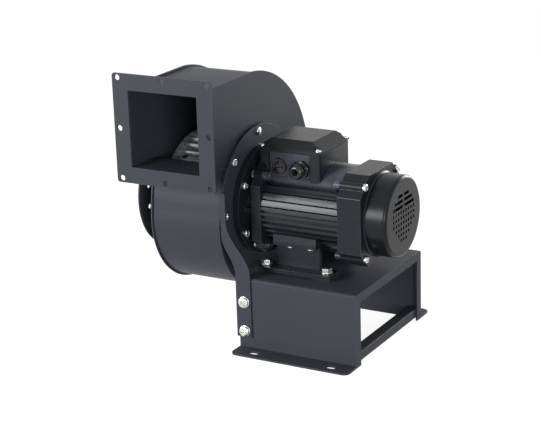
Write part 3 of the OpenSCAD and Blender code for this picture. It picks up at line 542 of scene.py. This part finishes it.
def cast_enamel(name, colour, painted_light_box=None, painted_light_lift=1.0, gloss=0.16):
    """Brushed enamel over a casting: pits and swells of the sand below a glossier skin. Inside the box given by
    its two corners, the tone is lighter by the given factor: painted light standing in for a highlight, not a
    change in the coat."""
    s = Shader(name)
    swell = s.noise(160.0, 4.0, 0.6)
    pit = s.noise(900.0, 2.0)
    tone = s.blend(swell, tint(colour, 0.75), tint(colour, 1.3))
    # Painted light: inside the given box the tone is a lighter copy of the enamel's
    if painted_light_box:
        pale = s.blend(swell, tint(colour, 0.8 * painted_light_lift), tint(colour, 1.2 * painted_light_lift))
        tone = s.blend(s.within(*painted_light_box), tone, pale)
    return s.surface(Base_Color=tone, Roughness=(pit * 0.14 + 0.20).held(), Specular_IOR_Level=gloss,
                     Normal=s.relief(swell + pit * 0.4, 0.00016))


def zinc_plate(name, colour):
    """Electroplated zinc: cool white with a faint straw drift, tumbling scratches in the gloss."""
    s = Shader(name)
    drift = s.noise(240.0, 2.0)
    scratch = s.noise(1.0, 3.0, 0.7, place=s.stretched(4200.0, 420.0, 900.0))
    straw = (min(1, colour[0] * 1.12), colour[1] * 1.06, colour[2] * 0.96)
    tone = s.blend(drift, tint(colour, 0.86), straw)
    return s.surface(Base_Color=tone, Metallic=1.0, Roughness=(scratch * 0.22 + 0.16).held(),
                     Normal=s.relief(scratch, 0.00003))


def galvanised(name, colour):
    """Hot-dip sheet: angular spangles a few millimetres wide, each with its own tone and gloss."""
    s = Shader(name)
    cell = s.node("ShaderNodeTexVoronoi", {"feature": "F1"}, Vector=s.place, Scale=260.0, Randomness=1.0,
                  out="Color")
    pick = s.node("ShaderNodeSeparateColor", {}, cell)
    fine = s.noise(700.0, 2.0)
    tone = s.blend(pick, tint(colour, 0.80), tint(colour, 1.16))
    return s.surface(Base_Color=tone, Metallic=0.85, Roughness=(pick * 0.16 + fine * 0.10 + 0.22).held(),
                     Normal=s.relief(fine, 0.00004))


def turned_steel(name, colour, lines):
    """Lathe-turned steel: fine rings along the shaft's axis."""
    s = Shader(name)
    rings = s.noise(1.0, 2.0, 0.6, place=s.stretched(lines, 8.0, 8.0))
    tone = s.blend(rings, tint(colour, 0.85), tint(colour, 1.1))
    return s.surface(Base_Color=tone, Metallic=1.0, Roughness=(rings * 0.2 + 0.15).held(),
                     Normal=s.relief(rings, 0.00004))


def stacked_sheet(name, colour):
    """Edges of half-millimetre laminations: dark joints at every pitch along the shaft."""
    s = Shader(name)
    bands = s.node("ShaderNodeTexWave", {"wave_type": "BANDS", "bands_direction": "X"}, Vector=s.place,
                   Scale=320.0, Distortion=0.0)
    rust = s.noise(60.0, 3.0)
    tone = s.blend(bands, tint(colour, 0.35), s.blend(rust, colour, (0.30, 0.22, 0.17)))
    return s.surface(Base_Color=tone, Metallic=0.8, Roughness=(0.62 - bands * 0.2).held(),
                     Normal=s.relief(bands, 0.00012))


def wound_wire(name, colour):
    """Enamelled copper wire laid side by side, under a thin varnish."""
    s = Shader(name)
    turn = s.node("ShaderNodeTexWave", {"wave_type": "RINGS", "rings_direction": "X"}, Vector=s.place,
                  Scale=420.0, Distortion=1.5, Detail=1.0)
    tone = s.blend(turn, tint(colour, 0.35), tint(colour, 1.15))
    return s.surface(Base_Color=tone, Metallic=0.7, Roughness=(0.5 - turn * 0.2).held(), Coat_Weight=0.4,
                     Normal=s.relief(turn, 0.00025))


def moulded(name, colour, roughness, grain):
    """Moulded plastic or rubber: a matt grain and a slow sheen drift."""
    s = Shader(name)
    skin = s.noise(grain, 3.0, 0.6)
    drift = s.noise(40.0)
    tone = s.blend(skin, tint(colour, 0.8), tint(colour, 1.35))
    return s.surface(Base_Color=tone, Roughness=(skin * 0.14 + drift * 0.08 + roughness - 0.1).held(),
                     Normal=s.relief(skin, 0.00006))


def soft_metal(name, colour, roughness):
    """Brass or sintered magnet: cloudy tone and a brushed gloss."""
    s = Shader(name)
    cloud = s.noise(120.0, 4.0, 0.6)
    tone = s.blend(cloud, tint(colour, 0.7), tint(colour, 1.15))
    return s.surface(Base_Color=tone, Metallic=1.0, Roughness=(cloud * 0.25 + roughness).held(),
                     Normal=s.relief(cloud, 0.00004))


FINISH = {}
EDGE_HIGHLIGHT = {}


def mix_finishes(colours):
    """Makes each finish once, by the record's slot name."""
    coat, enamel, zinc, galvanising, nylon = (
        tuple(c) for c in (colours.coat, colours.enamel, colours.zinc, colours.galvanised, colours.plastic))
    # Painted highlight: the rounded edges of sheet and castings get a much lighter tone
    EDGE_HIGHLIGHT.update({
        "coated_sheet": painted_edge_highlight("sheet_edge", coat, roughness=0.30),
        "coated_casting": painted_edge_highlight("casting_edge", enamel, roughness=0.22),
    })
    FINISH.update({
        "coated_sheet": powder_coat("coated_sheet", coat, roughness=0.44, peel=0.00008, gloss=0.10),
        "coated_casting": cast_enamel("coated_casting", enamel),
        "coated_cowl": powder_coat("coated_cowl", tint(enamel, 0.60), roughness=0.25, peel=0.00003,
                                   gloss=0.18),
        "zinc_plate": zinc_plate("zinc_plate", zinc),
        "galvanised_sheet": galvanised("galvanised_sheet", galvanising),
        "black_rubber": moulded("black_rubber", (0.010, 0.010, 0.011), roughness=0.75, grain=900.0),
        "black_plastic": moulded("black_plastic", nylon, roughness=0.22, grain=1500.0),
        "machined_steel": turned_steel("machined_steel", (0.50, 0.51, 0.53), lines=2600.0),
        "bearing_steel": turned_steel("bearing_steel", (0.62, 0.63, 0.65), lines=900.0),
        "brass": soft_metal("brass", (0.72, 0.52, 0.22), roughness=0.2),
        "lamination_steel": stacked_sheet("lamination_steel", (0.34, 0.35, 0.37)),
        "copper_winding": wound_wire("copper_winding", (0.60, 0.27, 0.12)),
        "magnet": soft_metal("magnet", (0.12, 0.125, 0.14), roughness=0.35),
    })


# ------------------------------------------------------------------ places from the frame

def corners_of(node):
    """The low and the high corner of a CAD node's box."""
    low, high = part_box(node)
    return np.array(low), np.array(high)


def inset_corners(low, high, inset):
    """The four corners of a box seen from above, moved in by the inset."""
    return [(x, y) for x in (low[0] + inset, high[0] - inset) for y in (low[1] + inset, high[1] - inset)]


def ring_places(count, start_deg, radius, x):
    """Points round the shaft at one radius: the angle turns from +Y towards +Z."""
    a = np.radians(start_deg + 360.0 / count * np.arange(count))
    return [np.array([x, SHAFT[1] + radius * math.cos(t), SHAFT[2] + radius * math.sin(t)]) for t in a]


class Step:
    """What each operator of the workshop shares."""

    bl_options = {"REGISTER"}

    @property
    def sizes(self):
        return bpy.context.scene.blower_sizes

    def screw(self, at, towards, kind, spin, shank_l=None):
        """One cross-recessed screw as placed parts: a domed head and a plain shank below it. The spin is
        where it came to rest when it was driven, so it differs from screw to screw."""
        r, length = kind.shank_r, shank_l or kind.shank_l
        shank = lathe([0, r, r, 0], [0, 0, -length, -length], 24)
        return [placed(self.cross_head(kind), at, towards, spin), placed(shank, at, towards)]

    def cross_head(self, kind):
        """A domed head of a screw or bolt, with the workshop's cross recess."""
        sizes = self.sizes
        return recessed_head(kind.head_r, kind.head_h, sizes.recess_depth, sizes.recess_width)


class BLOWER_OT_finishes(Step, bpy.types.Operator):
    """Give every node of the frame its finish"""
    bl_idname = "blower.finishes"
    bl_label = "Finishes"

    def execute(self, context):
        mix_finishes(context.scene.blower_colours)
        for sub in frame["record"]["subparts"]:
            node = frame["nodes"][sub["node"]]
            node.data.materials.clear()
            node.data.materials.append(FINISH[sub["material_slot"]])
        enamel = tuple(context.scene.blower_colours.enamel)
        # Painted light: the box's panels get an enamel four times lighter, standing in for a highlight on them
        low, high = corners_of("terminal_box")
        painted_light_panel = (low + [PAINTED_LIGHT_PANEL.post, PAINTED_LIGHT_PANEL.recess, 0], high - [PAINTED_LIGHT_PANEL.post, PAINTED_LIGHT_PANEL.recess, PAINTED_LIGHT_PANEL.rim])
        self.coat_over("terminal_box", cast_enamel("box_enamel_painted_light", enamel, painted_light_panel, painted_light_lift=4.0))
        # Painted highlight: the barrel's top, above the crown height, gets an enamel 4.4 times lighter
        low, high = corners_of("motor_frame")
        crown = (np.array([low[0], low[1], SHAFT[2] + PAINTED_HIGHLIGHT_CROWN_UP]), high + MM)
        self.coat_over("motor_frame", cast_enamel("frame_enamel_painted_highlight", enamel, crown, painted_light_lift=4.4, gloss=0.31))
        return {"FINISHED"}

    def coat_over(self, node, material):
        """Puts one casting's coat, which carries painted light, in place of the common one."""
        frame["nodes"][node].data.materials[0] = material


class BLOWER_OT_rounding(Step, bpy.types.Operator):
    """Round the edges of the castings and of the cut sheet"""
    bl_idname = "blower.rounding"
    bl_label = "Rounded castings and sheets"

    castings = ("drive_end_shield", "motor_frame", "rear_end_shield", "motor_feet", "terminal_box",
                "terminal_box_lid")
    sheets = ("base_stand", "cross_bar", "support_plate", "outlet_flange", "inlet_flange",
              "scroll_side_motor", "scroll_side_inlet", "scroll_wrapper")

    def execute(self, context):
        for node in self.castings:
            rounded_copy(node, self.sizes.casting_edge)
        for node in self.sheets:
            rounded_copy(node, self.sizes.sheet_edge)
        return {"FINISHED"}


class BLOWER_OT_screws(Step, bpy.types.Operator):
    """Cross-recessed screws on the casing, the motor's flange, its shields and the lid"""
    bl_idname = "blower.screws"
    bl_label = "Screws"

    def execute(self, context):
        for place in ("casing", "flange", "shield", "lid", "foot"):
            screws = getattr(self, place)(*corners_of(place + "_screws"))
            parts = [part for screw in screws for part in screw]
            make_piece(place + "_screw_set", parts, "zinc_plate", (place + "_screws",))
        return {"FINISHED"}

    def casing(self, low, high):
        """Eight screws round the support plate."""
        kind = CASING_SCREW
        places = ring_places(8, 0, (high[1] - low[1]) / 2 - kind.head_r, high[0] - kind.seat)
        return [self.screw(at, (1, 0, 0), kind, 0.7 * i) for i, at in enumerate(places)]

    def flange(self, low, high):
        """Six screws round the motor's flange."""
        kind = FLANGE_SCREW
        places = ring_places(6, 30, (high[2] - low[2]) / 2 - kind.head_r, high[0] - kind.seat)
        return [self.screw(at, (1, 0, 0), kind, 1.1 * i) for i, at in enumerate(places)]

    def shield(self, low, high):
        """At each corner a long screw from the rear shield's side and a short one from the drive end."""
        offset = (high[1] - low[1]) / 2 - REAR_SCREW.head_r
        screws = []
        for y in (-1, 1):
            for z in (-1, 1):
                corner = SHAFT[1:] + offset * np.array([y, z])
                rear = (high[0] - REAR_SCREW.seat, *corner)
                drive = (low[0] + DRIVE_SCREW.seat, *corner)
                screws.append(self.screw(rear, (1, 0, 0), REAR_SCREW, y + 0.4 * z))
                screws.append(self.screw(drive, (-1, 0, 0), DRIVE_SCREW, 0.9 * y))
        return screws

    def lid(self, low, high):
        """One screw at each corner of the terminal box's lid."""
        seat = high[2] - LID_SCREW.seat
        places = inset_corners(low, high, LID_SCREW.head_r)
        return [self.screw((x, y, seat), (0, 0, 1), LID_SCREW, 20 * x) for x, y in places]

    def foot(self, low, high):
        """Screws that hold the feet to the barrel, driven from below."""
        seat = low[2] + FOOT_SCREW.seat
        places = inset_corners(low, high, FOOT_SCREW.head_r)
        return [self.screw((x, y, seat), (0, 0, -1), FOOT_SCREW, 30 * y, high[2] - seat) for x, y in places]


class BLOWER_OT_bolts(Step, bpy.types.Operator):
    """Threaded bolts, washers and nuts at the motor's feet and on the support arms"""
    bl_idname = "blower.bolts"
    bl_label = "Bolts and nuts"

    def execute(self, context):
        pitch = self.sizes.thread_pitch
        plain_washer = washer(WASHER.outer, WASHER.bore, WASHER.t)
        nut = hex_nut(BOLT.across, BOLT.nut_h, BOLT.r)
        self.foot_bolts(plain_washer, pitch)
        self.foot_nuts(plain_washer, nut)
        self.arm_bolts(plain_washer, nut, pitch)
        return {"FINISHED"}

    def foot_bolts(self, plain_washer, pitch):
        """Hexagon bolts down through the feet and the stand's top."""
        low, high = corners_of("foot_bolts")
        up = (0, 0, 1)
        parts = []
        for x, y in inset_corners(low, high, WASHER.outer):
            seat = np.array([x, y, high[2] - BOLT.seat])
            shoulder = seat + [0, 0, WASHER.t]
            parts.append(placed(plain_washer, seat, up))
            parts.append(placed(hex_head(BOLT.across, BOLT.head_h), shoulder, up, 8 * x))
            parts.append(placed(threaded_rod(BOLT.r, shoulder[2] - low[2], pitch), shoulder, up))
        make_piece("foot_bolt_set", parts, "zinc_plate", ("foot_bolts",))

    def foot_nuts(self, plain_washer, nut):
        """Their washers and nuts, below the stand's top."""
        low, high = corners_of("foot_nuts")
        up = (0, 0, 1)
        parts = []
        for x, y in inset_corners(low, high, WASHER.outer):
            face = np.array([x, y, high[2] - WASHER.t])
            parts.append(placed(plain_washer, face, up))
            parts.append(placed(nut, face - [0, 0, BOLT.nut_h], up, 3 * y))
        make_piece("foot_nut_set", parts, "zinc_plate", ("foot_nuts",))

    def arm_bolts(self, plain_washer, nut, pitch):
        """Domed bolts from outside through each arm, with their nuts inside the stand."""
        low, high = corners_of("arm_bolts")
        inner = dict(zip((-1, 1), (corner[1] for corner in corners_of("arm_nuts"))))
        face = {-1: low[1] + ARM_BOLT.seat, 1: high[1] - ARM_BOLT.seat}
        dome = self.cross_head(ARM_BOLT)
        rod = threaded_rod(BOLT.r, ARM_BOLT.shank_l, pitch)
        x = low[0] + WASHER.outer
        bolts, nuts = [], []
        for side in (-1, 1):
            out = (0, side, 0)
            for z in (low[2] + WASHER.outer, high[2] - WASHER.outer):
                seat = np.array([x, face[side], z])
                shoulder = seat + [0, side * WASHER.t, 0]
                bolts += [placed(plain_washer, seat, out), placed(dome, shoulder, out, 9 * z),
                          placed(rod, shoulder, out)]
                nuts.append(placed(nut, (x, inner[side], z), (0, -side, 0), 5 * z))
        make_piece("arm_bolt_set", bolts, "zinc_plate", ("arm_bolts",))
        make_piece("arm_nut_set", nuts, "zinc_plate", ("arm_nuts",))


class BLOWER_OT_gland(Step, bpy.types.Operator):
    """Cable gland with its clamping cap and seal, and the slotted blanking plug"""
    bl_idname = "blower.gland"
    bl_label = "Gland and plug"

    out = (0, -1, 0)

    def execute(self, context):
        hole = GLAND_BORE["dims"]["r_mm"] * MM
        low, high = corners_of("cable_gland")
        x, _, z = (low + high) / 2
        face = high[1] - GLAND.in_wall
        self.body((x, face, z), hole)
        start = (x, face - GLAND.neck_l, z)
        self.cap(start, start[1] - corners_of("gland_cap")[0][1], hole)
        self.plug()
        return {"FINISHED"}

    def body(self, at, hole):
        """Hexagon on the box's wall, and a collared neck that runs back through the wall."""
        hexagon = hex_head(GLAND.across, GLAND.hexagon_h)
        neck_r = np.concatenate([[hole], np.array([8, 8, 9, 9.6, 9, 9]) * MM, [hole, hole]])
        neck_z = np.array([-4, -4, 0, 5, 5.4, 6, 10, 10, -4]) * MM
        make_piece("gland_body", [placed(hexagon, at, self.out, 0.2),
                                  placed(lathe(neck_r, neck_z), at, self.out)],
                   "black_plastic", ("cable_gland",))

    def cap(self, at, length, hole):
        """Ribbed clamping cap with a domed front, and the rubber seal in its mouth."""
        mouth = hole + CAP.mouth
        dome_r, dome_z = arc_points(CAP.dome_in, length - CAP.dome, CAP.dome, 0, 86, 8)
        r = np.concatenate([[mouth, CAP.foot_r, CAP.r, CAP.r], dome_r, [mouth, mouth]])
        z = np.concatenate([[0, 0, CAP.chamfer, CAP.ribbed_l], dome_z, [length, 0]])
        cap = lathe(r, z, 108, self.ribs)
        front = length - SEAL.back
        seal = lathe([mouth, mouth, hole + SEAL.lip, hole, hole, mouth],
                     [0, front, front, front - SEAL.lip, 0, 0])
        make_piece("gland_cap_ribbed", [placed(cap, at, self.out)], "black_plastic", ("gland_cap",))
        make_piece("gland_seal", [placed(seal, at, self.out)], "black_rubber")

    @staticmethod
    def ribs(a):
        """Greatest radius at angle a: eighteen ribs, each half a cosine wave."""
        return CAP.groove_r + CAP.rib * abs(np.cos(9 * a))

    def plug(self):
        """Blanking plug: a round rim with a slotted core sunk into it."""
        low, high = corners_of("blanking_plug")
        x, _, z = (low + high) / 2
        face = low[1] + PLUG.rim_h
        rim = lathe(np.array([0, 10, 10, 11.1, 11.5, 11.5, 11.1, 9.6, 9.2, 9.0, 0]) * MM,
                    np.array([-4, -4, 0, 0, 0.4, 1.9, 2.5, 2.5, 2.1, 1.0, 1.0]) * MM, 64)
        core = recessed_head(PLUG.core_r, PLUG.core_h, depth=0.8, width=0.3, kind="slot")
        make_piece("plug_slotted", [placed(rim, (x, face, z), self.out),
                                    placed(core, (x, face - PLUG.core_up, z), self.out)],
                   "black_plastic", ("blanking_plug",))


class BLOWER_OT_stage(Step, bpy.types.Operator):
    """Pale floor, soft lamps, white surroundings and the camera"""
    bl_idname = "blower.stage"
    bl_label = "Stage"

    floor_half = 40.0

    def execute(self, context):
        scene = context.scene
        stage = scene.blower_stage
        aim = Vector(stage.aim)
        self.floor()
        self.surroundings(scene)
        for name, (place, size, watts) in LAMPS.items():
            self.soft_lamp(name, place, aim, size, watts * stage.level)
        self.camera(scene, stage, aim)
        scene.view_settings.view_transform = "Standard"
        return {"FINISHED"}

    def floor(self):
        """A wide square at the height of the object's feet."""
        h = self.floor_half
        mesh = bpy.data.meshes.new("floor")
        mesh.from_pydata([(-h, -h, 0), (h, -h, 0), (h, h, 0), (-h, h, 0)], [], [(0, 1, 2, 3)])
        mesh.materials.append(self.pale_floor())
        floor = linked_object("floor", mesh)

    def pale_floor(self):
        """White floor. To the eye and in reflections it has its own light under the lit colour, so that the
        object's shadow stays, and is plain white past the lamps' reach. To stray light it is a plain grey."""
        near, blend_l = 0.7, 1.1
        s = Shader("pale_floor")
        tone = s.blend(s.noise(3.0), (0.30, 0.30, 0.30), (0.33, 0.33, 0.33))
        lit = s.node("ShaderNodeBsdfDiffuse", {}, Color=tone)
        glow = s.node("ShaderNodeEmission", {}, Color=WHITE, Strength=0.90)
        shaded = s.node("ShaderNodeAddShader", {}, lit, glow)
        plain = s.node("ShaderNodeEmission", {}, Color=WHITE, Strength=1.0)
        away = s.node("ShaderNodeVectorMath", {"operation": "LENGTH"}, s.place, out="Value")
        white = s.node("ShaderNodeMixShader", {}, ((away - near) / blend_l).held(), shaded, plain)
        grey = s.node("ShaderNodeBsdfDiffuse", {}, Color=(0.18, 0.18, 0.18))
        s.end("ShaderNodeOutputMaterial", s.node("ShaderNodeMixShader", {}, s.looked_at(), grey, white))
        return s.material

    def surroundings(self, scene):
        """White where it is seen or mirrored, and softer where it lights."""
        world = bpy.data.worlds.new("surroundings")
        scene.world = world
        s = Nodes(world)
        soft = s.node("ShaderNodeBackground", {}, Color=(0.96, 0.98, 1.0), Strength=0.10)
        white = s.node("ShaderNodeBackground", {}, Color=WHITE, Strength=1.0)
        s.end("ShaderNodeOutputWorld", s.node("ShaderNodeMixShader", {}, s.looked_at(), soft, white))

    def soft_lamp(self, name, place, aim, size, watts):
        """A disk of light turned to the aim, which the camera doesn't see."""
        lamp = bpy.data.lights.new(name, "AREA")
        lamp.shape = "DISK"
        lamp.size = size
        lamp.energy = watts
        holder = bpy.data.objects.new(name, lamp)
        bpy.context.scene.collection.objects.link(holder)
        holder.location = place
        holder.rotation_euler = (aim - Vector(place)).to_track_quat("-Z", "Y").to_euler()
        holder.visible_camera = False

    def camera(self, scene, stage, aim):
        """Looks at the aim from its azimuth and elevation, then turns about the line of sight."""
        az, el = stage.azimuth, stage.elevation
        ahead = Vector((-math.sin(az) * math.cos(el), math.cos(az) * math.cos(el), -math.sin(el)))
        right = Vector((math.cos(az), math.sin(az), 0))
        up = right.cross(ahead)
        side = right * math.cos(stage.roll) + up * math.sin(stage.roll)
        over = up * math.cos(stage.roll) - right * math.sin(stage.roll)
        data = bpy.data.cameras.new("camera")
        data.sensor_fit = "HORIZONTAL"
        data.sensor_width = 36.0
        data.lens = stage.lens
        holder = bpy.data.objects.new("camera", data)
        scene.collection.objects.link(holder)
        turn = Matrix((side, over, -ahead)).transposed().to_4x4()
        holder.matrix_world = Matrix.Translation(aim - ahead * stage.distance) @ turn
        scene.camera = holder


STEPS = (BLOWER_OT_finishes, BLOWER_OT_rounding, BLOWER_OT_screws, BLOWER_OT_bolts, BLOWER_OT_gland,
         BLOWER_OT_stage)


class BLOWER_PT_workshop(bpy.types.Panel):
    """Lists the workshop's steps and settings"""
    bl_idname = "BLOWER_PT_workshop"
    bl_label = "Scroll blower"
    bl_space_type = "VIEW_3D"
    bl_region_type = "UI"
    bl_category = "Blower"

    def draw(self, context):
        layout = self.layout
        for step in STEPS:
            layout.operator(step.bl_idname)
        for group in (context.scene.blower_sizes, context.scene.blower_colours, context.scene.blower_stage):
            box = layout.box()
            for key in group.__annotations__:
                box.prop(group, key)


GROUPS = (BlowerSizes, BlowerColours, BlowerStage)


def register():
    for cls in (*GROUPS, *STEPS, BLOWER_PT_workshop):
        bpy.utils.register_class(cls)
    bpy.types.Scene.blower_sizes = bpy.props.PointerProperty(type=BlowerSizes)
    bpy.types.Scene.blower_colours = bpy.props.PointerProperty(type=BlowerColours)
    bpy.types.Scene.blower_stage = bpy.props.PointerProperty(type=BlowerStage)


def unregister():
    del bpy.types.Scene.blower_stage
    del bpy.types.Scene.blower_colours
    del bpy.types.Scene.blower_sizes
    for cls in reversed((*GROUPS, *STEPS, BLOWER_PT_workshop)):
        bpy.utils.unregister_class(cls)


def main():
    """Runs every step in order."""
    register()
    for step in STEPS:
        category, name = step.bl_idname.split(".")
        getattr(getattr(bpy.ops, category), name)()


if __name__ == "__main__":
    main()
